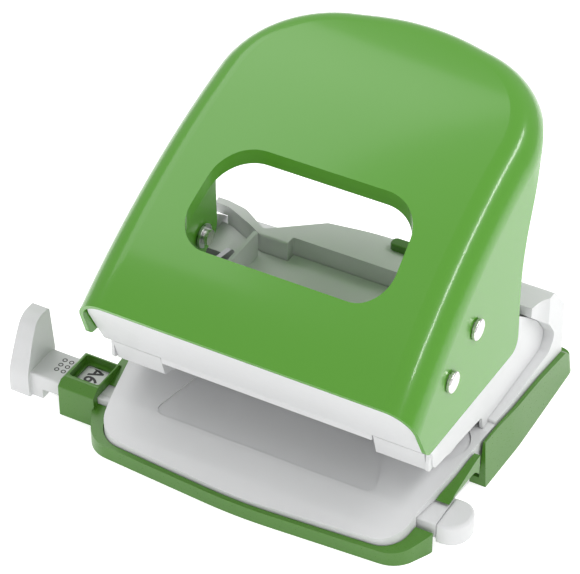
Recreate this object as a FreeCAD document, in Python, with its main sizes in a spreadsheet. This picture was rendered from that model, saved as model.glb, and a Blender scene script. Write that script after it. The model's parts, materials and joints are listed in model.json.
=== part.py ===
import FreeCAD, Part
import math
import os
import Sketcher

# Two-hole desk punch.  Millimetres, +Z up.  x = 0 is the middle of the punch, y = 0 is the
# line through the two punch centres, z = 0 is the desk.  The open side faces -Y.

doc = FreeCAD.newDocument("hole_punch")
sheet = doc.addObject("Spreadsheet::Sheet", "dims")

DIMENSIONS = [
    ("hole_spacing", 80.0),
    ("punch_diameter", 5.5),
    ("punch_tip_height", 17.2),
    ("punch_clearance", 0.08),
    ("handle_half_width", 50.4),
    ("handle_draft", 0.08),
    ("sheet_thickness", 1.2),
    ("panel_radius", 187.6),
    ("panel_centre_y", 82.5),
    ("panel_centre_z", -91.3),
    ("bend_radius", 9.0),
    ("pivot_y", -15.3),
    ("pivot_z", 50.0),
    ("drive_y", 0.0),
    ("drive_z", 56.2),
    ("pin_diameter", 4.4),
    ("pin_clearance", 0.05),
    ("pin_head_diameter", 6.1),
    ("pin_head_height", 1.1),
    ("lug_offset", 33.0),
    ("table_height", 14.0),
    ("table_underside", 12.3),
    ("dish_depth", 0.6),
    ("guide_underside", 16.6),
    ("guide_width", 15.0),
    ("back_stop_y", 12.2),
    ("shelf_height", 30.2),
    ("bracket_sheet", 1.5),
    ("platform_height", 36.0),
    ("floor_top", 30.0),
    ("wall", 2.0),
    ("housing_half_width", 52.4),
    ("cheek_wall", 1.0),
    ("seam_height", 15.0),
    ("rail_top", 9.2),
    ("rail_thickness", 5.2),
    ("rail_front", -26.0),
    ("rail_width", 12.0),
    ("rail_clearance", 0.25),
    ("stop_distance", 74.0),
    ("stop_height", 24.8),
    ("rail_end", 53.0),
    ("knob_end", 60.6),
    ("frame_bottom", 0.0),
    ("frame_floor", 2.4),
    ("frame_half_width", 53.2),
    ("tray_half_width", 55.4),
    ("tray_wall", 2.4),
    ("hinge_y", 3.6),
    ("hinge_z", 3.0),
    ("hinge_diameter", 2.2),
    ("die_diameter", 9.0),
    ("die_plate_sheet", 2.0),
    ("spring_radius", 3.6),
    ("spring_wire", 0.8),
    ("spring_foot", 31.8),
    ("spring_top", 48.0),
    ("spring_coils", 6.0),
    ("collar_height", 1.6),
]
for row, (alias, number) in enumerate(DIMENSIONS, start=1):
    sheet.set("A%d" % row, alias)
    sheet.set("B%d" % row, str(number))
    sheet.setAlias("B%d" % row, alias)
doc.recompute()


def dim(alias):
    return float(sheet.get(alias))


def bound(formula):
    """The formula with every alias pointed at its cell."""
    words = formula.split()
    known = [alias for alias, number in DIMENSIONS]
    return " ".join("dims." + word if word in known else word for word in words)


# ---------------------------------------------------------------- drawing helpers

def vec(u, v):
    return FreeCAD.Vector(u, v, 0)


def rounded(corners):
    """Lines and arcs through the corners (u, v) or (u, v, radius)."""
    count = len(corners)
    starts, ends, arcs = [], [], []
    for i, corner in enumerate(corners):
        here = vec(corner[0], corner[1])
        radius = corner[2] if len(corner) > 2 else 0.0
        if radius <= 0:
            starts.append(here)
            ends.append(here)
            arcs.append(None)
            continue
        before = (vec(*corners[i - 1][:2]) - here).normalize()
        after = (vec(*corners[(i + 1) % count][:2]) - here).normalize()
        half = before.getAngle(after) / 2.0
        reach = radius / math.tan(half)
        middle = (before + after).normalize()
        centre = here + middle * (radius / math.sin(half))
        first = here + before * reach
        last = here + after * reach
        starts.append(first)
        ends.append(last)
        arcs.append(Part.Arc(first, centre - middle * radius, last))
    edges = []
    for i in range(count):
        if arcs[i] is not None:
            edges.append(arcs[i])
        target = starts[(i + 1) % count]
        if ends[i].distanceToPoint(target) > 1e-6:
            edges.append(Part.LineSegment(ends[i], target))
    return edges


def inset(corners, distance):
    """The same convex counter-clockwise outline moved inwards."""
    count = len(corners)
    lines = []
    for i in range(count):
        start = vec(*corners[i][:2])
        along = (vec(*corners[(i + 1) % count][:2]) - start).normalize()
        normal = vec(-along.y, along.x)
        lines.append((start + normal * distance, along))
    result = []
    for i in range(count):
        (p, d), (q, e) = lines[i - 1], lines[i]
        cross = d.x * e.y - d.y * e.x
        offset = q - p
        t = (offset.x * e.y - offset.y * e.x) / cross
        meet = p + d * t
        radius = corners[i][2] if len(corners[i]) > 2 else 0.0
        result.append((meet.x, meet.y, max(radius - distance, 0.0)))
    return result


def mirrored(corners):
    """A right-hand half outline, front to rear, closed with its mirror image."""
    left = [(-c[0],) + tuple(c[1:]) for c in reversed(corners) if abs(c[0]) > 1e-9]
    return list(corners) + left


def rectangle(u0, v0, u1, v1, radius=0.0):
    return [(u0, v0, radius), (u1, v0, radius), (u1, v1, radius), (u0, v1, radius)]


def body(name):
    item = doc.addObject("PartDesign::Body", name)
    item.Label = name
    item.Placement = FreeCAD.Placement()
    return item


def sketch(owner, plane, offset=0.0, loops=(), circles=()):
    """A sketch on one of the body's own planes, moved along the plane's normal."""
    item = owner.newObject("Sketcher::SketchObject", owner.Name + "_sketch")
    origin = [f for f in owner.Origin.OriginFeatures if f.Role == plane][0]
    item.AttachmentSupport = [(origin, "")]
    item.MapMode = "FlatFace"
    item.AttachmentOffset = FreeCAD.Placement(FreeCAD.Vector(0, 0, offset), FreeCAD.Rotation())
    for loop in loops:
        edges = loop if hasattr(loop[0], "toShape") else rounded(loop)
        item.addGeometry(edges, False)
    for u, v, formula in circles:
        index = item.addGeometry(Part.Circle(vec(u, v), vec(0, 0) + FreeCAD.Vector(0, 0, 1), 1.0), False)
        constraint = item.addConstraint(Sketcher.Constraint("Diameter", index, 2.0))
        item.setExpression("Constraints[%d]" % constraint, bound(formula))
    return item


def pad(owner, profile, formula, both=False, back=False):
    item = owner.newObject("PartDesign::Pad", owner.Name + "_pad")
    item.Profile = profile
    item.Midplane = both
    item.Reversed = back
    item.setExpression("Length", bound(formula))
    doc.recompute()
    return item


def pocket(owner, profile, formula, both=False, up=False):
    """Cut along the sketch: towards -normal, or +normal with up, or both ways."""
    before = owner.Shape.Volume
    item = owner.newObject("PartDesign::Pocket", owner.Name + "_pocket")
    item.Profile = profile
    item.Midplane = both
    item.Reversed = up
    item.setExpression("Length", bound(formula))
    doc.recompute()
    if owner.Shape.Volume > before - 1e-6:
        raise RuntimeError("a pocket in %s removes nothing" % owner.Name)
    return item


def soften(owner, formula, wanted, kind="Fillet"):
    """Round or bevel the edges of the body that the test picks out."""
    names = ["Edge%d" % (i + 1) for i, edge in enumerate(owner.Shape.Edges) if wanted(edge)]
    if not names:
        raise RuntimeError("no edges to round in " + owner.Name)
    item = owner.newObject("PartDesign::" + kind, owner.Name + "_" + kind.lower())
    item.Base = (owner.Tip if owner.Tip is not item else item.BaseFeature, names)
    item.setExpression("Radius" if kind == "Fillet" else "Size", bound(formula))
    doc.recompute()
    return item


def middle_of(edge):
    return edge.valueAt((edge.FirstParameter + edge.LastParameter) / 2.0)


HALF = dim("hole_spacing") / 2.0
SIDES = (("left", -1.0), ("right", 1.0))
parts = []


def keep(item):
    parts.append(item)
    return item


# ---------------------------------------------------------------- handle

def panel_z(y, depth=0.0):
    """Height of the curved panel, or of a surface the given depth under it."""
    radius = dim("panel_radius") - depth
    return dim("panel_centre_z") + math.sqrt(radius ** 2 - (y - dim("panel_centre_y")) ** 2)


def handle_plan(height):
    """Outline of the handle's drafted walls at a given height."""
    spread = (dim("pivot_z") - height) * dim("handle_draft")
    half = dim("handle_half_width") + spread
    return mirrored([(half, -60.0), (half, 64.6 + spread, 37.0 + spread), (0.0, 78.4 + spread, 66.0)])


def panel_arc(y0, y1, depth):
    mid = (y0 + y1) / 2.0
    return Part.Arc(vec(y0, panel_z(y0, depth)), vec(mid, panel_z(mid, depth)), vec(y1, panel_z(y1, depth)))


def handle_form(name, depth):
    """A deep drafted block, cut off by the panel's arc, its upper rim bent over."""
    form = body(name)
    low = 20.0
    plan = handle_plan(low)
    if depth:
        plan = inset(plan, depth)
    block = pad(form, sketch(form, "XY_Plane", low, [plan]), "90")
    block.TaperAngle = -math.degrees(math.atan(dim("handle_draft")))
    doc.recompute()
    first, last = -90.0, 110.0
    side = [panel_arc(first, last, depth)]
    side.append(Part.LineSegment(vec(last, panel_z(last, depth)), vec(last, 150.0)))
    side.append(Part.LineSegment(vec(last, 150.0), vec(first, 150.0)))
    side.append(Part.LineSegment(vec(first, 150.0), vec(first, panel_z(first, depth))))
    pocket(form, sketch(form, "YZ_Plane", 0.0, [side]), "4 * handle_half_width", both=True)

    def on_rim(edge):
        ends = [v.Point for v in edge.Vertexes] + [middle_of(edge)]
        on_panel = all(abs(q.z - panel_z(q.y, depth)) < 0.05 for q in ends)
        crosswise = abs(ends[0].y - ends[1].y) < 0.01 and ends[0].y < 0
        return on_panel and not crosswise
    soften(form, "bend_radius - sheet_thickness" if depth else "bend_radius", on_rim)
    return form


def make_handle():
    thickness = dim("sheet_thickness")
    outer = handle_form("handle_outer", 0.0)
    inner = handle_form("handle_inner", thickness)
    deep_shell = doc.addObject("Part::Cut", "handle_deep_shell")
    deep_shell.Base = outer
    deep_shell.Tool = inner

    trim = body("handle_trim")
    outline = [
        (-37.7, 55.0),
        (-29.9, 35.6, 3.5),
        (24.6, 32.2, 4.5),
        (28.6, 58.0, 60.0),
        (44.6, 86.0, 12.0),
        (90.0, 92.6),
        (90.0, 120.0),
        (-37.7, 120.0),
    ]
    pad(trim, sketch(trim, "YZ_Plane", 0.0, [outline]), "4 * handle_half_width", both=True)
    shell = doc.addObject("Part::Common", "handle_shell")
    shell.Base = deep_shell
    shell.Tool = trim

    window = body("handle_window")
    opening = mirrored([(31.4, -18.0, 9.0), (29.0, 11.0, 12.0)])
    pad(window, sketch(window, "XY_Plane", 50.0, [opening]), "50")

    opened = doc.addObject("Part::Cut", "handle_opened")
    opened.Base = shell
    opened.Tool = window

    turned_edge = body("handle_turned_edge")
    around = mirrored([(31.4 + thickness, -18.0 - thickness, 9.0 + thickness),
                       (29.0 + thickness, 11.0 + thickness, 12.0 + thickness)])
    pad(turned_edge, sketch(turned_edge, "XY_Plane", 50.0, [around, opening]), "50")
    everything = rectangle(-150.0, -150.0, 150.0, 150.0)
    band = [panel_arc(-50.0, 50.0, 0.5),
            Part.LineSegment(vec(50.0, panel_z(50.0, 0.5)), vec(50.0, panel_z(50.0, 4.2))),
            panel_arc(50.0, -50.0, 4.2),
            Part.LineSegment(vec(-50.0, panel_z(-50.0, 4.2)), vec(-50.0, panel_z(-50.0, 0.5)))]
    keep_band = sketch(turned_edge, "YZ_Plane", 0.0, [everything, band])
    pocket(turned_edge, keep_band, "4 * handle_half_width", both=True)

    pieces = [opened, turned_edge]
    for side, sign in SIDES:
        lug = body("handle_lug_" + side)
        outline = [
            (-12.5, panel_z(-12.5, 0.3)),
            (-12.5, 62.0, 4.0),
            (-21.2, 54.0, 5.0),
            (-19.5, 44.0, 5.0),
            (-11.0, 43.6, 4.0),
            (8.4, 52.0, 5.0),
            (8.0, 66.0, 8.0),
            (8.4, panel_z(8.4, 0.3)),
        ]
        profile = sketch(lug, "YZ_Plane", sign * dim("lug_offset"), [outline])
        pad(lug, profile, "sheet_thickness", both=True)
        pieces.append(lug)
    joined = doc.addObject("Part::MultiFuse", "handle_joined")
    joined.Shapes = pieces

    bores = body("handle_bores")
    holes = [(dim("pivot_y"), dim("pivot_z"), "pin_diameter"),
             (dim("drive_y"), dim("drive_z"), "pin_diameter")]
    pad(bores, sketch(bores, "YZ_Plane", 0.0, (), holes), "2.2 * handle_half_width", both=True)
    handle = doc.addObject("Part::Cut", "handle")
    handle.Base = joined
    handle.Tool = bores
    handle.Label = "handle"
    doc.recompute()
    return handle


def flange_x(z):
    """Outer face of the flange at a given height."""
    return dim("handle_half_width") - dim("handle_draft") * (z - dim("pivot_z"))


def make_pin(kind, side, sign, y, z):
    """A headed pin from just outside the flange to just inside the lug."""
    pin = body("%s_pin_%s" % (kind, side))
    face = flange_x(z) + 0.27
    inner = dim("lug_offset") - 3.4
    length = face - inner
    shank = sketch(pin, "YZ_Plane", sign * (inner + length / 2.0), (), [(y, z, "pin_diameter")])
    pad(pin, shank, "%.4f" % length, both=True)
    head = sketch(pin, "YZ_Plane", sign * (face + dim("pin_head_height") / 2.0), (),
                  [(y, z, "pin_head_diameter")])
    pad(pin, head, "pin_head_height", both=True)
    limit = face + dim("pin_head_height") - 0.1
    soften(pin, "0.5", lambda edge: abs(middle_of(edge).x) > limit)
    groove_at = dim("lug_offset") - 1.5
    outline = sketch(pin, "YZ_Plane", sign * groove_at, (),
                     [(y, z, "pin_diameter + 2"), (y, z, "pin_diameter - 1.2")])
    pocket(pin, outline, "0.7", both=True)
    return pin


def make_pin_clips():
    """Snap rings in the inner grooves of the four pins."""
    rings = []
    at = dim("lug_offset") - 1.5
    for side, sign in SIDES:
        for kind in ("pivot", "drive"):
            ring = body("clip_%s_%s" % (kind, side))
            y, z = dim(kind + "_y"), dim(kind + "_z")
            profile = sketch(ring, "YZ_Plane", sign * at, (),
                             [(y, z, "pin_diameter + 2.6"), (y, z, "pin_diameter - 1.1")])
            pad(ring, profile, "0.6", both=True)
            gap = rectangle(y - 0.8, z - 6.0, y + 0.8, z)
            pocket(ring, sketch(ring, "YZ_Plane", sign * at, [gap]), "2", both=True)
            rings.append(ring)
    group = doc.addObject("Part::Compound", "pin_clips")
    group.Links = rings
    group.Label = "pin_clips"
    return group


handle = keep(make_handle())
for side, sign in SIDES:
    keep(make_pin("pivot", side, sign, dim("pivot_y"), dim("pivot_z")))
    keep(make_pin("drive", side, sign, dim("drive_y"), dim("drive_z")))
keep(make_pin_clips())


# ---------------------------------------------------------------- grey base housing

def housing_outline(shrink=0.0):
    right = [(45.9, -35.9, 8.0), (50.3, -10.0, 60.0), (52.4, 18.0, 120.0), (52.6, 58.6, 4.5)]
    left = [(-corner[0],) + corner[1:] for corner in reversed(right)]
    corners = [(0.0, -38.9, 150.0)] + right + [(0.0, 60.8, 400.0)] + left
    return inset(corners, shrink) if shrink else corners


def table_line(drop=0.0, front=0.0):
    """Rear to front corners of the table's surface, or of one lower and further back."""
    top = dim("table_height") - drop
    return [(-9.0, top, 14.0), (-25.5, top - 2.8, 14.0), (-33.6 + front, top - 5.8, 10.0)]


def seam_line(gap=0.0):
    """Side seam between the two grey housings, front to rear then up."""
    low = dim("seam_height") + gap
    return [(45.6 - gap, low, 1.5), (49.6 - gap, 18.8, 3.5), (44.8 - gap, 25.8, 10.0), (38.8 - gap, 31.2, 6.0)]


def make_base_housing():
    """Table, rear hump with the platform and the two curved wing walls; open from below."""
    shell = body("housing_shell")
    top = dim("table_height")
    seam = dim("seam_height")
    stop = dim("back_stop_y")
    platform = dim("platform_height")
    side = [
        (-42.0, 3.0),
        (-1.0, 3.0),
        (-1.0, 5.4),
        (6.0, 5.4),
        (6.0, 3.0),
        (64.0, 3.0),
        (61.0, 13.9, 20.0),
        (55.6, 25.2, 20.0),
        (46.8, platform, 2.5),
        (30.3, platform, 0.8),
        (30.3, seam),
        (stop, seam, 0.6),
        (stop, top),
    ] + table_line() + [(-42.0, 3.6)]
    pad(shell, sketch(shell, "YZ_Plane", 0.0, [side]), "2.4 * housing_half_width", both=True)
    frame = rectangle(-150.0, -150.0, 150.0, 150.0)
    pocket(shell, sketch(shell, "XY_Plane", 0.0, [frame, housing_outline()]), "400", both=True)
    middle = [(-22.6, 25.0), (22.6, 25.0), (22.6, 33.6, 0.8), (-22.6, 33.6, 0.8)]
    pocket(shell, sketch(shell, "XY_Plane", seam, [middle]), "30", up=True)
    for side_name, sign in SIDES:
        bay = [(29.0, 25.0), (60.0, 25.0), (60.0, 37.2), (45.5, 37.2, 9.0), (36.5, 33.0, 6.0),
               (31.6, 30.3, 3.0), (29.0, 30.3)]
        bay = [(sign * c[0],) + tuple(c[1:]) for c in bay]
        pocket(shell, sketch(shell, "XY_Plane", seam, [bay]), "30", up=True)
        seat = [(25.0, seam)] + seam_line() + [(30.0, 40.0), (25.0, 60.0)]
        pocket(shell, sketch(shell, "YZ_Plane", sign * 45.9, [seat]), "9", up=sign > 0)
        beside = [(60.0, 10.0), (60.0, 47.0), (51.6, 45.0, 8.0), (49.7, 36.0, 30.0), (49.7, 10.0)]
        beside = [(sign * corner[0],) + corner[1:] for corner in beside]
        pocket(shell, sketch(shell, "XY_Plane", seam, [beside]), "30", up=True)
    # the left rear shoulder is low: only the platform and the wing stand up there
    deck = [(4.5, 80.0), (4.5, 47.6), (-17.0, 44.2, 1.5), (-31.8, 33.0, 1.5), (-40.6, 38.6, 7.0),
            (-47.0, 39.8), (-70.0, 39.8), (-70.0, 80.0)]
    pocket(shell, sketch(shell, "XY_Plane", seam, [deck]), "30", up=True)

    inner_table = table_line(1.7, 0.8)
    low_room = [(-37.2, 0.0), (59.2, 0.0), (58.8, 12.3)] + inner_table + [(-37.2, 4.2)]
    core = body("housing_core_low")
    pad(core, sketch(core, "YZ_Plane", 0.0, [low_room]), "2.4 * housing_half_width", both=True)
    pocket(core, sketch(core, "XY_Plane", 0.0, [frame, housing_outline(2.0)]), "400", both=True)
    hump_room = [(36.0, 11.0), (58.6, 13.2), (53.6, 23.8, 18.0), (45.5, platform - 2.0),
                 (36.0, platform - 2.0)]
    core_top = body("housing_core_top")
    pad(core_top, sketch(core_top, "YZ_Plane", 25.0, [hump_room]), "37", both=True)
    pocket(core_top, sketch(core_top, "XY_Plane", 0.0, [frame, housing_outline(2.0)]), "400", both=True)
    core_mid = body("housing_core_mid")
    mid_room = rectangle(36.0, 11.0, 41.6, platform - 2.0)
    pad(core_mid, sketch(core_mid, "YZ_Plane", -1.0, [mid_room]), "28", both=True)

    cuts = [core, core_top, core_mid]
    for side_name, sign in SIDES:
        die = body("housing_die_hole_" + side_name)
        pad(die, sketch(die, "XY_Plane", 8.0, (), [(sign * HALF, 0.0, "die_diameter + 0.3")]), "10")
        cuts.append(die)
        dish = body("housing_dish_" + side_name)
        pad(dish, sketch(dish, "XY_Plane", top - dim("dish_depth"), (),
                         [(sign * HALF, 0.0, "19")]), "dish_depth + 0.4")
        cuts.append(dish)
        leg = body("housing_leg_slot_" + side_name)
        centre = sign * (HALF + 0.2)
        pad(leg, sketch(leg, "XY_Plane", 11.0, [rectangle(centre - 6.4, 14.4, centre + 6.4, 21.4, 0.8)]), "10")
        cuts.append(leg)
        screw = body("housing_screw_hole_" + side_name)
        pad(screw, sketch(screw, "XY_Plane", 11.0, (), [(sign * 27.0, 26.2, "3")]), "10")
        cuts.append(screw)
    recess = body("housing_recess")
    dish = [(-26.0, top - 2.8 - dim("dish_depth")), (-9.0, top - dim("dish_depth"), 14.0),
            (stop - 0.4, top - dim("dish_depth")), (stop - 0.4, top + 2.0), (-26.0, top + 2.0)]
    pad(recess, sketch(recess, "YZ_Plane", 0.0, [dish]), "69", both=True)
    dish_plan = [(-34.6, -25.4, 2.5), (34.6, -25.4, 2.5), (29.5, -9.0, 2.0), (29.5, stop - 0.4),
                 (-29.5, stop - 0.4), (-29.5, -9.0, 2.0)]
    pocket(recess, sketch(recess, "XY_Plane", 0.0, [frame, dish_plan]), "400", both=True)
    cuts.append(recess)
    tunnel = body("housing_rail_tunnel")
    path = rectangle(dim("rail_front") - 0.5, 0.0, dim("rail_front") + dim("rail_width") + 0.5,
                     dim("rail_top") + 0.5)
    pad(tunnel, sketch(tunnel, "YZ_Plane", 0.0, [path]), "2.4 * housing_half_width", both=True)
    cuts.append(tunnel)
    slider_slot = body("housing_slider_slot")
    slot = rectangle(7.2, 42.4, 20.6, 44.6, 0.9)
    pad(slider_slot, sketch(slider_slot, "XY_Plane", 30.0, [slot]), "10")
    cuts.append(slider_slot)
    tools = doc.addObject("Part::MultiFuse", "housing_cuts")
    tools.Shapes = cuts
    cut = doc.addObject("Part::Cut", "housing_cut")
    cut.Base = shell
    cut.Tool = tools

    # ears for the tray hinge, hanging from the table between the dies
    ears = [cut]
    for side_name, sign in SIDES:
        ear = body("housing_ear_" + side_name)
        shape = [(dim("hinge_y") - 2.4, 1.4, 2.2), (dim("hinge_y") + 2.4, 1.4, 2.2),
                 (dim("hinge_y") + 2.4, 12.8), (dim("hinge_y") - 2.4, 12.8)]
        pad(ear, sketch(ear, "YZ_Plane", sign * 18.0, [shape]), "4", both=True)
        ears.append(ear)
    joined = doc.addObject("Part::MultiFuse", "housing_joined")
    joined.Shapes = ears
    bore = body("housing_hinge_bore")
    pad(bore, sketch(bore, "YZ_Plane", 0.0, (), [(dim("hinge_y"), dim("hinge_z"), "hinge_diameter")]),
        "60", both=True)
    housing = doc.addObject("Part::Cut", "base_housing")
    housing.Base = joined
    housing.Tool = bore
    housing.Label = "base_housing"
    return housing


# ---------------------------------------------------------------- grey upper housing

def cheek_outline():
    seam = seam_line(0.2)
    return [
        (-20.8, 31.6, 2.0),
        (-20.8, 22.8, 2.5),
        (-16.0, 21.9, 4.0),
        (8.6, 18.5, 1.5),
        (8.9, 14.2),
        (11.9, 14.2),
        (11.9, dim("seam_height") + 0.2),
    ] + seam + [
        (33.0, 35.6, 2.0),
        (26.6, 35.6, 4.0),
        (24.6, 31.4, 6.0),
        (-14.0, 32.6, 4.0),
    ]


def make_upper_housing():
    """Front strip, back stop wall, floor of the tub and the two cheeks."""
    upper = body("upper_core")
    floor = dim("floor_top")
    stop = dim("back_stop_y")
    seam = dim("seam_height") + 0.2
    strip = [(-35.5, 51.4, 0.8), (-23.4, 29.8), (-21.2, 29.8), (-20.4, floor), (-33.4, 53.2, 0.8)]
    pad(upper, sketch(upper, "YZ_Plane", 0.0, [strip]), "104", both=True)
    for side, sign in SIDES:
        # the strip's ends follow the inside of the handle's flanges and rounded corners
        end = [(50.4, 28.0), (50.0, 35.0), (49.1, 45.5, 6.0), (47.6, 50.4, 4.0), (43.6, 53.0), (43.6, 60.0),
               (56.0, 60.0), (56.0, 28.0)]
        end = [(sign * corner[0],) + corner[1:] for corner in end]
        pocket(upper, sketch(upper, "XZ_Plane", 0.0, [end]), "100", both=True)
    slab = [(-23.4, 28.0), (30.0, 28.0), (30.0, floor), (-22.0, floor), (-23.4, 30.4)]
    pad(upper, sketch(upper, "YZ_Plane", 0.0, [slab]), "64.4", both=True)
    for side, sign in SIDES:
        tub_side = rectangle(-20.6, 29.0, 28.0, 38.6)
        pad(upper, sketch(upper, "YZ_Plane", sign * 31.5, [tub_side]), "1.2", both=True)
    pad(upper, sketch(upper, "XY_Plane", 28.0, [rectangle(-22.3, 28.0, 22.3, 33.3)]), "2")
    pad(upper, sketch(upper, "XY_Plane", seam, [rectangle(-46.8, stop, 46.8, stop + 1.8)]),
        "floor_top - seam_height - 0.2")
    pieces = [upper]
    for side, sign in SIDES:
        link = [(47.6, 24.4), (47.6, 36.9), (45.3, 36.9, 9.0), (36.3, 32.7, 6.0), (31.4, 30.0, 3.0),
                (28.0, 30.0), (28.0, 24.4)]
        link = [(sign * c[0],) + tuple(c[1:]) for c in link]
        pad(upper, sketch(upper, "XY_Plane", 28.0, [link]), "2")
        bridge = rectangle(sign * 30.0, -23.3, sign * 47.6, -20.9)
        pad(upper, sketch(upper, "XY_Plane", 29.9, [bridge]), "2")
        x = sign * 27.0
        pad(upper, sketch(upper, "XY_Plane", seam, [rectangle(x - 3.2, 23.0, x + 3.2, 29.4, 0.8)]),
            "floor_top - seam_height - 0.2")
        pocket(upper, sketch(upper, "XY_Plane", seam, (), [(x, 26.2, "2.5")]), "9", up=True)
        cheek = body("upper_cheek_" + side)
        wall = dim("cheek_wall")
        lean = 0.078
        high, low = 37.0, 13.0
        band = [(48.0, high), (48.0 - wall, high), (48.0 - wall + lean * (high - low), low),
                (48.0 + lean * (high - low), low)]
        band = [(sign * c[0], c[1]) for c in band]
        pad(cheek, sketch(cheek, "XZ_Plane", -60.0, [band]), "90")
        everything = rectangle(-150.0, -150.0, 150.0, 150.0)
        pocket(cheek, sketch(cheek, "YZ_Plane", 0.0, [everything, cheek_outline()]), "400", both=True)
        pieces.append(cheek)
        corner = body("upper_corner_" + side)
        block = rectangle(-22.6, 22.8, -19.0, 31.9, 1.2)
        pad(corner, sketch(corner, "YZ_Plane", sign * 48.15, [block]), "0.9", both=True)
        pieces.append(corner)
    upper_housing = doc.addObject("Part::MultiFuse", "upper_housing")
    upper_housing.Shapes = pieces
    upper_housing.Label = "upper_housing"
    return upper_housing


# ---------------------------------------------------------------- steel work

def rivet_places():
    """Two rivets through each bracket foot."""
    return [(sign * (HALF + 0.2) + shift, 17.6) for side, sign in SIDES for shift in (-2.6, 2.6)]


def make_die_plate():
    plate = body("die_plate")
    outline = rectangle(-47.0, -7.6, 47.0, 22.5, 3.0)
    holes = [(-HALF, 0.0, "die_diameter"), (HALF, 0.0, "die_diameter")]
    for x, y in rivet_places():
        holes.append((x, y, "2"))
    base = dim("table_underside") - 0.1 - dim("die_plate_sheet")
    pad(plate, sketch(plate, "XY_Plane", base, [outline], holes), "die_plate_sheet")
    middle = rectangle(-24.0, -4.0, 24.0, 9.0, 3.0)
    pocket(plate, sketch(plate, "XY_Plane", base, [middle]), "5", up=True)
    return plate


def make_die(side, sign):
    die = body("die_" + side)
    base = dim("table_underside") - 0.1 - dim("die_plate_sheet")
    height = "table_height - dish_depth - %.4f" % base
    pad(die, sketch(die, "XY_Plane", base, (), [(sign * HALF, 0.0, "die_diameter"),
                                                 (sign * HALF, 0.0, "punch_diameter + 0.1")]), height)
    return die


def make_bracket(side, sign):
    """Bent sheet bracket: two cheeks round the punch, a shelf and a foot on the die plate."""
    bracket = body("bracket_" + side)
    shelf = dim("shelf_height")
    y, z = dim("pivot_y"), dim("pivot_z")
    foot_z = dim("table_underside") - 0.1
    cheek = [
        (y - 4.2, shelf),
        (14.6, shelf),
        (14.6, foot_z),
        (20.6, foot_z),
        (20.6, 37.0, 3.0),
        (6.0, 40.0, 4.0),
        (-7.0, 42.0, 4.0),
        (y + 5.6, z + 5.8, 4.0),
        (y - 5.8, z + 5.8, 4.0),
    ]
    sheet_half = dim("bracket_sheet") / 2.0
    inner = HALF - 5.0
    outer = HALF + 5.4
    for at in (inner, outer):
        profile = sketch(bracket, "YZ_Plane", sign * at, [cheek])
        pad(bracket, profile, "bracket_sheet", both=True)
    x0, x1 = sorted((sign * (inner - sheet_half), sign * (outer + sheet_half)))
    top = rectangle(x0, y - 1.0, x1, 14.8)
    pad(bracket, sketch(bracket, "XY_Plane", shelf, [top]), "bracket_sheet")
    foot = rectangle(x0, 14.6, x1, 20.6)
    pad(bracket, sketch(bracket, "XY_Plane", foot_z, [foot]), "bracket_sheet")
    bore = sketch(bracket, "XY_Plane", shelf - 1.0, (), [(sign * HALF, 0.0, "punch_diameter + 1")])
    pocket(bracket, bore, "4", up=True)
    holes = [(px, py, "2") for px, py in rivet_places() if px * sign > 0]
    pocket(bracket, sketch(bracket, "XY_Plane", foot_z - 1.0, (), holes), "4", up=True)
    pivot = sketch(bracket, "YZ_Plane", sign * HALF, (), [(y, z, "pin_diameter + 2 * pin_clearance")])
    pocket(bracket, pivot, "20", both=True)
    return bracket


def make_rivets():
    rivets = []
    base = dim("table_underside") - 0.1 - dim("die_plate_sheet")
    top = dim("table_underside") - 0.1 + dim("bracket_sheet")
    for x, y in rivet_places():
        rivet = body("rivet_%d" % (len(rivets) + 1))
        pad(rivet, sketch(rivet, "XY_Plane", base, (), [(x, y, "2")]), "%.4f" % (top - base))
        pad(rivet, sketch(rivet, "XY_Plane", top, (), [(x, y, "3.4")]), "0.9")
        soften(rivet, "0.4", lambda edge: middle_of(edge).z > top + 0.8)
        rivets.append(rivet)
    group = doc.addObject("Part::Compound", "bracket_rivets")
    group.Links = rivets
    group.Label = "bracket_rivets"
    return group


def make_guide_block(side, sign):
    """Grey block under the strip that guides the punch and leads the paper in."""
    block = body("guide_block_" + side)
    low = dim("guide_underside")
    top = dim("shelf_height") - 0.6
    outline = [(-23.3, top), (-21.1, 22.0, 1.2), (-6.5, low, 6.0), (9.2, low, 0.6), (9.2, top)]
    pad(block, sketch(block, "YZ_Plane", sign * HALF, [outline]), "guide_width", both=True)
    bore = sketch(block, "XY_Plane", 0.0, (), [(sign * HALF, 0.0, "punch_diameter + 2 * punch_clearance")])
    pocket(block, bore, "60", up=True)
    return block


def make_punch(side, sign):
    """Round punch with a slotted flat head for the drive pin and a hollow ground tip."""
    punch = body("punch_" + side)
    tip = dim("punch_tip_height")
    drive = dim("drive_z")
    round_top = drive - 4.4
    pad(punch, sketch(punch, "XY_Plane", tip, (), [(sign * HALF, 0.0, "punch_diameter")]),
        "drive_z - 4.4 - punch_tip_height")
    head = [(-4.6, round_top - 1.0, 1.5), (6.2, round_top - 1.0, 1.5), (6.2, drive + 4.4, 2.5),
            (-4.6, drive + 4.4, 2.5)]
    pad(punch, sketch(punch, "YZ_Plane", sign * HALF, [head]), "4.2", both=True)
    radius = dim("pin_diameter") / 2.0 + 0.12
    slot = rectangle(-radius - 0.35, drive - radius, radius + 1.5, drive + radius, radius - 0.01)
    pocket(punch, sketch(punch, "YZ_Plane", sign * HALF, [slot]), "8", both=True)
    vee = [(-6.0, tip - 1.0), (6.0, tip - 1.0), (0.0, tip + 1.4)]
    pocket(punch, sketch(punch, "YZ_Plane", sign * HALF, [vee]), "10", both=True)
    ring_at = dim("spring_top")
    groove = sketch(punch, "XY_Plane", ring_at, (), [(sign * HALF, 0.0, "punch_diameter + 2"),
                                                     (sign * HALF, 0.0, "punch_diameter - 0.8")])
    pocket(punch, groove, "0.9", up=True)
    return punch


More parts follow.
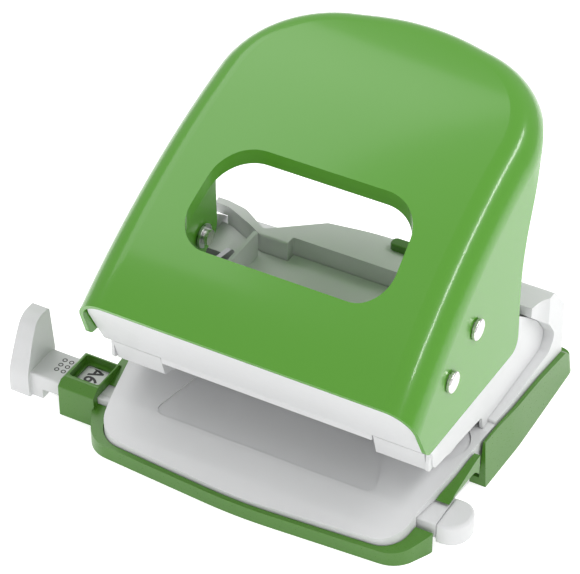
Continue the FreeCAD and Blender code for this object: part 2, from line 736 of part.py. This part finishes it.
def make_collar(side, sign):
    """Snap ring in the punch groove with its dished washer: the spring pushes on it."""
    collar = body("spring_collar_" + side)
    at = dim("spring_top")
    ring = sketch(collar, "XY_Plane", at, (), [(sign * HALF, 0.0, "2 * spring_radius + 1"),
                                               (sign * HALF, 0.0, "punch_diameter - 0.7")])
    pad(collar, ring, "0.8")
    gap = rectangle(sign * HALF - 2.2, -8.0, sign * HALF + 2.2, 0.0)
    pocket(collar, sketch(collar, "XY_Plane", at, [gap]), "3", up=True)
    return collar


def make_spring(side, sign):
    """Compression spring round the punch, as a swept coil with flat end turns."""
    low = dim("spring_foot") + dim("spring_wire") / 2.0
    high = dim("spring_top") - dim("spring_wire") / 2.0
    radius = dim("spring_radius")
    coils = dim("spring_coils")
    helix = Part.makeLongHelix((high - low) / coils, high - low, radius, 0.0)
    start = FreeCAD.Vector(radius, 0, 0)
    wire = Part.Wire([Part.makeCircle(dim("spring_wire") / 2.0, start, FreeCAD.Vector(0, 1, 0.12))])
    coil = Part.Wire(helix.Edges).makePipeShell([wire], True, True)
    spring = doc.addObject("Part::Feature", "spring_" + side)
    spring.Shape = coil
    spring.Placement = FreeCAD.Placement(FreeCAD.Vector(sign * HALF, 0, low), FreeCAD.Rotation())
    spring.Label = "spring_" + side
    return spring


# ---------------------------------------------------------------- green front frame

def frame_outline():
    return [(0.0, -40.6, 150.0), (47.6, -37.5, 9.0), (53.2, -27.0, 8.0), (53.2, 0.4),
            (-53.2, 0.4), (-53.2, -27.0, 8.0), (-47.6, -37.5, 9.0)]


def make_front_frame():
    """Green rim round the front of the table with the rail holder on its left end."""
    frame = body("front_frame")
    low = dim("frame_bottom")
    side = [(-42.0, low), (4.0, low), (4.0, 12.8), (-3.0, 12.6, 8.0), (-16.0, 10.9, 20.0),
            (-28.0, 6.6, 14.0), (-38.0, 4.4, 8.0), (-42.0, 4.4)]
    pad(frame, sketch(frame, "YZ_Plane", 0.0, [side]), "3 * frame_half_width", both=True)
    sheet_edge = rectangle(-150.0, -150.0, 150.0, 150.0)
    pocket(frame, sketch(frame, "XY_Plane", 0.0, [sheet_edge, frame_outline()]), "400", both=True)
    room = inset([(0.0, -38.9, 150.0), (45.9, -35.9, 8.0), (50.3, -10.0, 60.0), (52.4, 16.0),
                  (-52.4, 16.0), (-50.3, -10.0, 60.0), (-45.9, -35.9, 8.0)], -0.3)
    floor = low + dim("frame_floor")
    pocket(frame, sketch(frame, "XY_Plane", floor, [room]), "30", up=True)
    # the holder: a block with bevelled top, joined to the rim
    front = dim("rail_front")
    rear = front + dim("rail_width")
    block = [(front - 2.4, low), (rear + 2.4, low), (rear + 2.4, 9.6, 0.8), (rear - 0.6, 12.6, 0.8),
             (front + 0.4, 12.6, 0.8), (front - 2.4, 10.4, 0.8)]
    holder = sketch(frame, "YZ_Plane", -57.6, [block])
    pad(frame, holder, "11.6", both=True)
    bevel = [(-64.0, 13.5), (-64.0, 11.2), (-61.6, 13.5)]
    pocket(frame, sketch(frame, "XZ_Plane", 20.0, [bevel]), "60", both=True)
    # rail channel through the holder
    gap = dim("rail_clearance")
    bottom = dim("rail_top") - dim("rail_thickness")
    channel = rectangle(front - gap, bottom - gap, rear + gap, dim("rail_top") + gap)
    pocket(frame, sketch(frame, "YZ_Plane", -55.0, [channel]), "20", both=True)
    window = rectangle(-61.2, front + 2.0, -53.0, rear - 1.8, 0.8)
    pocket(frame, sketch(frame, "XY_Plane", 9.0, [window]), "6", up=True)
    mouth = rectangle(-62.0, front + 1.2, -52.2, rear - 1.0, 0.8)
    pocket(frame, sketch(frame, "XY_Plane", 10.2, [mouth]), "6", up=True)
    # arch for the knob end of the rail
    arch = [(-27.2, -1.0), (4.0, -1.0), (4.0, 1.0), (-2.0, 9.0, 6.0), (-14.0, 10.1, 12.0),
            (-27.2, 9.9, 2.0)]
    pocket(frame, sketch(frame, "YZ_Plane", 46.6, [arch]), "12", up=True)
    rib_front = rectangle(-43.0, front - 2.2, 43.0, front - 0.7)
    rib_rear = rectangle(-43.0, rear + 0.7, 43.0, rear + 2.2)
    for rib in (rib_front, rib_rear):
        pad(frame, sketch(frame, "XY_Plane", floor - 0.2, [rib]), "3")
    return frame


def make_detent_spring():
    """Leaf spring in the holder floor, bearing on the notches under the rail."""
    leaf = body("detent_spring")
    bottom = dim("rail_top") - dim("rail_thickness")
    low = dim("frame_bottom") + dim("frame_floor") + 0.05
    shape = [(-44.0, low), (-30.0, low), (-26.0, bottom - 0.5, 3.0), (-22.0, low, 3.0), (-14.0, low),
             (-14.0, low + 0.4), (-21.8, low + 0.4, 3.0), (-26.0, bottom - 0.1, 3.0),
             (-30.2, low + 0.4, 3.0), (-44.0, low + 0.4)]
    profile = sketch(leaf, "XZ_Plane", -dim("rail_front") - dim("rail_width") / 2.0, [shape])
    pad(leaf, profile, "5", both=True)
    return leaf


# ---------------------------------------------------------------- guide rail

def make_guide_rail():
    rail = body("guide_rail")
    front = dim("rail_front")
    rear = front + dim("rail_width")
    bottom = dim("rail_top") - dim("rail_thickness")
    stop = -dim("stop_distance")
    bar = [(front, bottom, 0.6), (rear, bottom, 0.6), (rear, dim("rail_top"), 0.6),
           (front, dim("rail_top"), 0.6)]
    length = dim("rail_end") - stop + 1.0
    middle = (dim("rail_end") + stop - 1.0) / 2.0
    pad(rail, sketch(rail, "YZ_Plane", middle, [bar]), "%.3f" % length, both=True)
    hook = [(front, 1.0), (rear, 1.0), (rear, bottom + 1.0), (front, bottom + 1.0)]
    pad(rail, sketch(rail, "YZ_Plane", stop + 1.6, [hook]), "4", both=True)
    plate = [
        (front - 1.3, 0.6, 0.8),
        (rear + 0.7, 0.6, 0.8),
        (rear + 0.9, dim("rail_top") + 0.6, 2.0),
        (rear - 0.6, dim("stop_height"), 1.4),
        (rear - 7.0, dim("stop_height"), 4.5),
        (front + 2.0, 18.5, 8.0),
        (front - 1.3, 9.0, 12.0),
    ]
    pad(rail, sketch(rail, "YZ_Plane", stop - 3.4, [plate]), "6.4", both=True)
    taper = [(stop - 8.0, 6.0), (stop - 6.6, 6.0), (stop - 5.0, 30.0), (stop - 8.0, 30.0)]
    pocket(rail, sketch(rail, "XZ_Plane", 20.0, [taper]), "80", both=True)
    for index in range(-5, 15):
        notch_x = -26.0 + 3.0 * index
        if index in (-5, 0, 3, 7, 14):
            vee = [(notch_x - 1.2, bottom - 0.5), (notch_x + 1.2, bottom - 0.5), (notch_x, bottom + 0.7)]
            pocket(rail, sketch(rail, "XZ_Plane", 20.0, [vee]), "80", both=True)
    well = rectangle(stop + 9.0, front + 1.6, 46.0, rear - 2.0, 0.8)
    pocket(rail, sketch(rail, "XY_Plane", dim("rail_top"), [well]), "0.3")
    peg = rectangle(front + 3.5, bottom + 1.4, rear - 3.5, dim("rail_top") - 1.4)
    pad(rail, sketch(rail, "YZ_Plane", dim("rail_end") + 1.5, [peg]), "3", both=True)
    return rail


def make_format_strip():
    strip = body("format_strip")
    front = dim("rail_front")
    rear = front + dim("rail_width")
    stop = -dim("stop_distance")
    outline = rectangle(stop + 9.1, front + 1.7, 45.9, rear - 2.1, 0.7)
    pad(strip, sketch(strip, "XY_Plane", dim("rail_top") - 0.3, [outline]), "0.25")
    return strip


def make_rail_knob():
    knob = body("rail_knob")
    front = dim("rail_front")
    rear = front + dim("rail_width")
    bottom = dim("rail_top") - dim("rail_thickness")
    outline = [(dim("rail_end"), front, 0.6), (dim("knob_end"), front, 6.0),
               (dim("knob_end"), rear, 5.0), (dim("rail_end"), rear, 0.6)]
    pad(knob, sketch(knob, "XY_Plane", 3.0, [outline]), "rail_top + 0.2 - 3")
    socket = rectangle(front + 3.3, bottom + 1.2, rear - 3.3, dim("rail_top") - 1.2)
    pocket(knob, sketch(knob, "YZ_Plane", dim("rail_end"), [socket]), "6.4", both=True)
    limit = dim("rail_top") + 0.1
    soften(knob, "1", lambda edge: all(v.Z > limit for v in edge.Vertexes))
    return knob


# ---------------------------------------------------------------- chip tray

def tray_outline(front, side_wall=0.0, rear_wall=0.0):
    """Plan of the tray at its foot, or of the room inside its walls."""
    half = dim("tray_half_width") - side_wall
    corner_y = 60.6 - rear_wall
    right = [(half - 0.9, front), (half, 22.0, 120.0), (half - 0.3, corner_y, 4.5)]
    left = [(-corner[0],) + corner[1:] for corner in reversed(right)]
    return right + [(0.0, corner_y + 2.3, 400.0)] + left


def make_chip_tray():
    """Green tray under the dies: floor, drafted side skirts, hinge ears at its front."""
    tray = body("chip_tray_shell")
    low = dim("frame_bottom")
    front = 2.2
    outside = pad(tray, sketch(tray, "XY_Plane", low, [tray_outline(front)]), "16")
    outside.TaperAngle = -math.degrees(math.atan(0.11))
    doc.recompute()
    above = [(-5.0, 14.6), (12.0, 14.4, 40.0), (37.7, 11.6, 60.0), (55.4, 8.6, 3.0), (57.6, 5.6, 3.0),
             (70.0, 5.0), (70.0, 40.0), (-5.0, 40.0)]
    pocket(tray, sketch(tray, "YZ_Plane", 0.0, [above]), "3 * tray_half_width", both=True)
    floor = low + dim("frame_floor")
    room = tray_outline(-5.0, 2.5, 1.5)
    pocket(tray, sketch(tray, "XY_Plane", floor, [room]), "30", up=True)
    y, z = dim("hinge_y"), dim("hinge_z")
    for side_name, sign in SIDES:
        for shift in (-3.25, 3.25):
            ear = [(y - 2.2, floor - 0.4), (y + 4.5, floor - 0.4), (y + 2.2, z + 2.2, 2.0), (y - 2.2, z + 2.2, 2.0)]
            pad(tray, sketch(tray, "YZ_Plane", sign * 18.0 + shift, [ear]), "2", both=True)
    well = rectangle(y - 3.6, -1.0, y + 3.6, floor + 0.01)
    for side_name, sign in SIDES:
        pocket(tray, sketch(tray, "YZ_Plane", sign * 18.0, [well]), "4.5", both=True)
    bore = sketch(tray, "YZ_Plane", 0.0, (), [(y, z, "hinge_diameter + 2 * pin_clearance")])
    pocket(tray, bore, "60", both=True)
    tray.Label = "chip_tray"
    return tray


def make_hinge_pins():
    pins = []
    for side, sign in SIDES:
        pin = body("hinge_pin_" + side)
        pad(pin, sketch(pin, "YZ_Plane", sign * 18.0, (),
                        [(dim("hinge_y"), dim("hinge_z"), "hinge_diameter")]), "9", both=True)
        pins.append(pin)
    group = doc.addObject("Part::Compound", "hinge_pins")
    group.Links = pins
    group.Label = "hinge_pins"
    return group


# ---------------------------------------------------------------- lock and screws

def make_lock_slider():
    """Green finger piece on the platform, held by a foot under the slot."""
    slider = body("lock_slider")
    top = dim("platform_height")
    y = 43.5
    cap = rectangle(3.6, y - 1.9, 15.6, y + 1.9, 1.6)
    pad(slider, sketch(slider, "XY_Plane", top + 0.1, [cap]), "2.1")
    soften(slider, "0.6", lambda edge: all(v.Z > top + 2.1 for v in edge.Vertexes))
    stem = rectangle(7.4, y - 0.95, 12.4, y + 0.95, 0.6)
    pad(slider, sketch(slider, "XY_Plane", top - 2.6, [stem]), "2.8")
    foot = rectangle(6.9, y - 1.6, 13.4, y + 1.4, 0.6)
    pad(slider, sketch(slider, "XY_Plane", top - 3.5, [foot]), "1.4")
    return slider


def make_cover_screws():
    screws = []
    under = dim("table_underside")
    for side, sign in SIDES:
        screw = body("cover_screw_" + side)
        x, y = sign * 27.0, 26.2
        pad(screw, sketch(screw, "XY_Plane", under - 1.4, (), [(x, y, "5")]), "1.4")
        pad(screw, sketch(screw, "XY_Plane", under, (), [(x, y, "2.5")]), "9")
        slot = rectangle(x - 1.8, y - 0.35, x + 1.8, y + 0.35)
        cross = rectangle(x - 0.35, y - 1.8, x + 0.35, y + 1.8)
        for cut in (slot, cross):
            pocket(screw, sketch(screw, "XY_Plane", under - 1.4, [cut]), "0.8", up=True)
        screws.append(screw)
    group = doc.addObject("Part::Compound", "cover_screws")
    group.Links = screws
    group.Label = "cover_screws"
    return group


keep(make_base_housing())
keep(make_upper_housing())
keep(make_die_plate())
for side, sign in SIDES:
    keep(make_die(side, sign))
    keep(make_bracket(side, sign))
    keep(make_guide_block(side, sign))
    keep(make_punch(side, sign))
    keep(make_collar(side, sign))
    keep(make_spring(side, sign))
keep(make_rivets())
keep(make_front_frame())
keep(make_detent_spring())
keep(make_guide_rail())
keep(make_format_strip())
keep(make_rail_knob())
keep(make_chip_tray())
keep(make_hinge_pins())
keep(make_lock_slider())
keep(make_cover_screws())

doc.recompute()
for item in doc.Objects:
    if "Invalid" in item.State or "Error" in item.State:
        raise RuntimeError("%s did not compute" % item.Name)
for item in parts:
    if item.Shape.isNull() or not item.Shape.isValid():
        raise RuntimeError("%s has no valid shape" % item.Label)

os.makedirs("parts", exist_ok=True)
for item in parts:
    item.Shape.exportStep("parts/%s.step" % item.Label)
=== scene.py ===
import json
import math

import bmesh
import bpy
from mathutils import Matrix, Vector


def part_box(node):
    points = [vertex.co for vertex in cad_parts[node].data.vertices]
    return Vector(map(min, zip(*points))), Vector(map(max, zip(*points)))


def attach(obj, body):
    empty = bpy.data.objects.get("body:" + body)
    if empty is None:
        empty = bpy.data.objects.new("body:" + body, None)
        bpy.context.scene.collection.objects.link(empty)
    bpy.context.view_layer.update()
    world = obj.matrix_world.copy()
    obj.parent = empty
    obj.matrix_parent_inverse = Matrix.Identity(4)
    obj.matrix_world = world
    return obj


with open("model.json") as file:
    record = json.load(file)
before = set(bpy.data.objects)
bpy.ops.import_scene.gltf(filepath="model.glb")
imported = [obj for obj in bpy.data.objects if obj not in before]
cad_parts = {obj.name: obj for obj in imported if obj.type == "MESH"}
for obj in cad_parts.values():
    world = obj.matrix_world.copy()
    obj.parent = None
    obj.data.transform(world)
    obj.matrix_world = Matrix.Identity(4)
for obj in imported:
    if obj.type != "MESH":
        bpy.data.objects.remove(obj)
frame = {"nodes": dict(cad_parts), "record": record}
NODES = frame["nodes"]
MM = 0.001

# ---------------------------------------------------------------- colours (linear)

GREEN_PAINT = (0.084, 0.290, 0.022)
GREEN_PLASTIC = (0.062, 0.195, 0.016)
LIGHT_GREY = (0.670, 0.675, 0.680)
RAIL_GREY = (0.640, 0.650, 0.640)
NICKEL = (0.72, 0.71, 0.69)
ZINC = (0.60, 0.61, 0.62)
DARK_STEEL = (0.42, 0.42, 0.43)
PRINT_BLACK = (0.030, 0.028, 0.030)
FLOOR_WHITE = (0.93, 0.93, 0.93)


# ---------------------------------------------------------------- material helpers

def new_material(name):
    material = bpy.data.materials.new(name)
    material.use_nodes = True
    tree = material.node_tree
    shader = tree.nodes["Principled BSDF"]
    place = tree.nodes.new("ShaderNodeTexCoord").outputs["Object"]
    return material, tree, shader, place


def noise(tree, place, scale, detail=4.0, stretch=None):
    if stretch:
        mapping = tree.nodes.new("ShaderNodeMapping")
        mapping.inputs["Scale"].default_value = stretch
        tree.links.new(place, mapping.inputs["Vector"])
        place = mapping.outputs["Vector"]
    node = tree.nodes.new("ShaderNodeTexNoise")
    node.inputs["Scale"].default_value = scale
    node.inputs["Detail"].default_value = detail
    tree.links.new(place, node.inputs["Vector"])
    return node.outputs["Fac"]


def spread(tree, value, low, high):
    """The value stretched from the usual range of noise to low..high."""
    node = tree.nodes.new("ShaderNodeMapRange")
    node.inputs["From Min"].default_value = 0.3
    node.inputs["From Max"].default_value = 0.7
    node.inputs["To Min"].default_value = low
    node.inputs["To Max"].default_value = high
    tree.links.new(value, node.inputs["Value"])
    return node.outputs["Result"]


def mottle(tree, value, colour, change):
    """The colour, a little darker where the value is low and lighter where it is high."""
    node = tree.nodes.new("ShaderNodeMix")
    node.data_type = "RGBA"
    node.inputs["A"].default_value = tuple(c * (1.0 - change) for c in colour) + (1.0,)
    node.inputs["B"].default_value = tuple(min(1.0, c * (1.0 + change)) for c in colour) + (1.0,)
    tree.links.new(value, node.inputs["Factor"])
    return node.outputs["Result"]


def relief(tree, shader, height, strength, depth):
    node = tree.nodes.new("ShaderNodeBump")
    node.inputs["Strength"].default_value = strength
    node.inputs["Distance"].default_value = depth
    tree.links.new(height, node.inputs["Height"])
    tree.links.new(node.outputs["Normal"], shader.inputs["Normal"])


# ---------------------------------------------------------------- materials

def handle_paint():
    """Glossy enamel under a thin clear coat, very slightly uneven."""
    material, tree, shader, place = new_material("handle_enamel")
    cloud = noise(tree, place, 22.0, 2.0)
    sheen = noise(tree, place, 60.0, 0.0)
    tree.links.new(mottle(tree, cloud, GREEN_PAINT, 0.02), shader.inputs["Base Color"])
    tree.links.new(spread(tree, sheen, 0.25, 0.27), shader.inputs["Roughness"])
    relief(tree, shader, noise(tree, place, 500.0, 0.0), 0.02, 0.00005)
    shader.inputs["Specular IOR Level"].default_value = 0.35
    shader.inputs["Coat Weight"].default_value = 0.40
    shader.inputs["Coat Roughness"].default_value = 0.10
    return material


def green_plastic():
    """Satin moulding with a fine spark-eroded grain."""
    material, tree, shader, place = new_material("green_moulding")
    cloud = noise(tree, place, 60.0, 3.0)
    sheen = noise(tree, place, 2500.0)
    tree.links.new(mottle(tree, cloud, GREEN_PLASTIC, 0.06), shader.inputs["Base Color"])
    tree.links.new(spread(tree, sheen, 0.27, 0.33), shader.inputs["Roughness"])
    relief(tree, shader, noise(tree, place, 3000.0, 2.0), 0.03, 0.00005)
    return material


def grey_plastic(name, colour, rough):
    """Pale moulding, more matt than the green one."""
    material, tree, shader, place = new_material(name)
    cloud = noise(tree, place, 45.0, 3.0)
    sheen = noise(tree, place, 700.0)
    tree.links.new(mottle(tree, cloud, colour, 0.012), shader.inputs["Base Color"])
    tree.links.new(spread(tree, sheen, rough - 0.04, rough + 0.05), shader.inputs["Roughness"])
    relief(tree, shader, noise(tree, place, 3500.0, 2.0), 0.10, 0.0001)
    return material


def metal(name, colour, rough, stretch):
    """Plated or ground steel, its fine lines running along one direction."""
    material, tree, shader, place = new_material(name)
    shader.inputs["Metallic"].default_value = 1.0
    lines = noise(tree, place, 900.0, 5.0, stretch)
    tree.links.new(mottle(tree, lines, colour, 0.08), shader.inputs["Base Color"])
    tree.links.new(spread(tree, lines, rough - 0.06, rough + 0.08), shader.inputs["Roughness"])
    relief(tree, shader, lines, 0.12, 0.00005)
    return material


def printing_ink():
    """Matt ink with a slight grain."""
    material, tree, shader, place = new_material("black_ink")
    blot = noise(tree, place, 400.0)
    sheen = noise(tree, place, 900.0)
    tree.links.new(mottle(tree, blot, PRINT_BLACK, 0.15), shader.inputs["Base Color"])
    tree.links.new(spread(tree, sheen, 0.42, 0.58), shader.inputs["Roughness"])
    relief(tree, shader, noise(tree, place, 2500.0), 0.2, 0.0001)
    return material


MATERIALS = {
    "handle_paint": handle_paint(),
    "green_plastic": green_plastic(),
    "grey_plastic": grey_plastic("grey_moulding", LIGHT_GREY, 0.42),
    "grey_strip": grey_plastic("rail_strip", RAIL_GREY, 0.50),
    "bright_steel": metal("nickel_plate", NICKEL, 0.24, (1.0, 1.0, 0.1)),
    "sheet_steel": metal("zinc_plate", ZINC, 0.34, (0.1, 1.0, 1.0)),
    "punch_steel": metal("ground_steel", DARK_STEEL, 0.28, (1.0, 1.0, 0.05)),
    "spring_steel": metal("spring_wire", ZINC, 0.30, (1.0, 1.0, 1.0)),
}
INK = printing_ink()

# ---------------------------------------------------------------- materials and edges of the nodes

EDGE_ROUND = {
    "handle": 0.45 * MM,
    "base_housing": 0.45 * MM,
    "upper_housing": 0.45 * MM,
    "front_frame": 0.45 * MM,
    "chip_tray": 0.45 * MM,
    "guide_rail": 0.50 * MM,
    "rail_knob": 0.60 * MM,
    "guide_block_left": 0.40 * MM,
    "guide_block_right": 0.40 * MM,
    "lock_slider": 0.20 * MM,
}
SHARP_FROM = math.radians(35.0)


def dress(node, slot_name):
    """The material of a node, and softened edges on the moulded and pressed parts."""
    piece = NODES[node]
    piece.data.materials.clear()
    piece.data.materials.append(MATERIALS[slot_name])
    if node in EDGE_ROUND:
        bevel = piece.modifiers.new("soft_edges", "BEVEL")
        bevel.width = EDGE_ROUND[node]
        bevel.segments = 3
        bevel.limit_method = "ANGLE"
        bevel.angle_limit = SHARP_FROM
        bevel.harden_normals = True


for entry in frame["record"]["subparts"]:
    dress(entry["node"], entry["material_slot"])


# ---------------------------------------------------------------- printing on the rail

def mesh_piece(name, build):
    """A new object whose mesh is made by the function given."""
    mesh = bpy.data.meshes.new(name)
    shape = bmesh.new()
    build(shape)
    bmesh.ops.recalc_face_normals(shape, faces=shape.faces)
    shape.to_mesh(mesh)
    shape.free()
    piece = bpy.data.objects.new(name, mesh)
    bpy.context.scene.collection.objects.link(piece)
    return piece


def add_ring(shape, centre, inner, outer, thickness, count=24):
    """A flat ring of ink standing on the centre's height."""
    loops = []
    for radius, lift in ((outer, 0.0), (outer, thickness), (inner, thickness), (inner, 0.0)):
        loop = []
        for i in range(count):
            turn = 2.0 * math.pi * i / count
            loop.append(shape.verts.new((centre[0] + radius * math.cos(turn),
                                         centre[1] + radius * math.sin(turn), centre[2] + lift)))
        loops.append(loop)
    for k in range(4):
        here, after = loops[k], loops[(k + 1) % 4]
        for i in range(count):
            j = (i + 1) % count
            shape.faces.new((here[i], here[j], after[j], after[i]))


RAIL_TOP = 9.2 * MM
STRIP_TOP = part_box("format_strip")[1][2]
RING_COLUMNS = (-66.2 * MM, -68.4 * MM)
RING_ROWS = (-21.3 * MM, -19.1 * MM, -16.9 * MM)
RING_INNER = 0.45 * MM
RING_OUTER = 0.75 * MM
RING_THICK = 0.03 * MM
MARK_HEIGHT = 4.2 * MM
MARK_THICK = 0.02 * MM
MARK_WEIGHT = 0.12 * MM
SIZE_OVER_HEIGHT = 1.38


def build_rings(shape):
    for x in RING_COLUMNS:
        for y in RING_ROWS:
            add_ring(shape, (x, y, RAIL_TOP), RING_INNER, RING_OUTER, RING_THICK)


def print_format(name, text, x, y):
    """A paper format mark on the strip, read with its foot towards the stop plate."""
    curve = bpy.data.curves.new(name, "FONT")
    curve.body = text
    curve.size = MARK_HEIGHT * SIZE_OVER_HEIGHT
    curve.extrude = MARK_THICK / 2.0
    curve.offset = MARK_WEIGHT
    curve.align_x = "CENTER"
    curve.align_y = "CENTER"
    piece = bpy.data.objects.new(name, curve)
    piece.location = (x, y, STRIP_TOP + MARK_THICK)
    piece.rotation_euler = (0.0, 0.0, -math.pi / 2.0)
    bpy.context.scene.collection.objects.link(piece)
    curve.materials.append(INK)
    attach(piece, "rail")


rings = mesh_piece("print_rings", build_rings)
rings.data.materials.append(INK)
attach(rings, "rail")
print_format("print_a6", "A6", -57.8 * MM, -18.6 * MM)


# ---------------------------------------------------------------- floor, light and camera

def build_floor(shape):
    half = 6.0
    corners = [shape.verts.new((x, y, 0.0)) for x, y in
               ((-half, -half), (half, -half), (half, half), (-half, half))]
    shape.faces.new(corners)


def make_floor():
    """A pale desk, lit from within a little so that it stays nearly white."""
    floor = mesh_piece("floor", build_floor)
    material, tree, shader, place = new_material("pale_floor")
    cloud = noise(tree, place, 3.0)
    tree.links.new(mottle(tree, cloud, FLOOR_WHITE, 0.01), shader.inputs["Base Color"])
    shader.inputs["Roughness"].default_value = 0.9
    shader.inputs["Emission Color"].default_value = (1.0, 1.0, 1.0, 1.0)
    shader.inputs["Emission Strength"].default_value = 0.55
    floor.data.materials.append(material)


def make_light(name, position, target, width, length, power):
    data = bpy.data.lights.new(name, "AREA")
    data.shape = "RECTANGLE"
    data.size = width
    data.size_y = length
    data.energy = power
    light = bpy.data.objects.new(name, data)
    light.location = position
    aim = Vector(target) - Vector(position)
    light.rotation_euler = aim.to_track_quat("-Z", "Y").to_euler()
    bpy.context.scene.collection.objects.link(light)


def make_world():
    world = bpy.data.worlds.new("studio")
    bpy.context.scene.world = world
    world.use_nodes = True
    back = world.node_tree.nodes["Background"]
    back.inputs["Color"].default_value = (1.0, 1.0, 1.0, 1.0)
    back.inputs["Strength"].default_value = 0.62


def make_camera():
    """Seen from the front right, 39 degrees above the desk, through a long lens."""
    azimuth, elevation = math.radians(28.8), math.radians(39.1)
    distance = 0.7079
    target = Vector((0.0018, -0.0126, 0.0603))
    away = Vector((math.sin(azimuth) * math.cos(elevation),
                   -math.cos(azimuth) * math.cos(elevation), math.sin(elevation)))
    data = bpy.data.cameras.new("camera")
    data.lens = 167.6
    data.sensor_width = 36.0
    data.clip_start = 0.01
    camera = bpy.data.objects.new("camera", data)
    camera.location = target + away * distance
    camera.rotation_euler = (-away).to_track_quat("-Z", "Y").to_euler()
    bpy.context.scene.collection.objects.link(camera)
    bpy.context.scene.camera = camera


make_floor()
make_world()
make_light("overhead_left", (-0.50, 0.12, 0.76), (-0.05, 0.06, 0.05), 0.90, 0.44, 2.7)
make_light("strip_right", (0.42, 0.14, 0.62), (0.04, 0.04, 0.05), 0.80, 0.05, 2.6)
make_light("front_fill", (0.1, -0.9, 0.5), (0.0, 0.0, 0.04), 0.80, 0.50, 0.7)
make_camera()
bpy.context.scene.view_settings.view_transform = "Standard"
